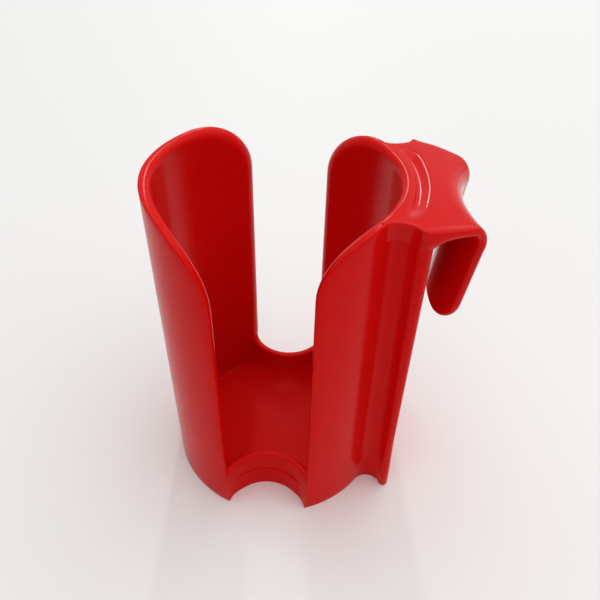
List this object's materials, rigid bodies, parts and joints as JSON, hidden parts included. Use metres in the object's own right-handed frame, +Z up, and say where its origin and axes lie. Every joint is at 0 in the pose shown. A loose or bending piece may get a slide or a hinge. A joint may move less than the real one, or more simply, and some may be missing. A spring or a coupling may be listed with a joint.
{
  "type": "test tube holder",
  "caption": "Open-sided round cup that grips a tube between two curved walls and hangs from the edge of a panel by a springy hook behind it.",
  "frame": {"origin": "on the cup's axis, in the plane of its base", "axes": "+Z up along the cup's axis, +X out through the back plate to the hook, -Y out through the front slot"},
  "size_m": [0.0427, 0.0322, 0.051],
  "materials": {
    "shell": "glossy moulded red plastic"
  },
  "bodies": {
    "holder": {"left_wall": "shell", "right_wall": "shell", "cup_floor": "shell", "front_flute": "shell", "rear_flute": "shell", "back_plate": "shell", "hook_bridge": "shell"},
    "clip": {"hook_tongue": "shell"}
  },
  "joints": [
    {"name": "clip_flex", "type": "hinge", "parent": "holder", "child": "clip", "pos_m": [0.02554, 0, 0.049], "axis": [0, -1, 0], "range_deg": [0, 6], "stiffness_Nm_per_rad": 1.2}
  ]
}
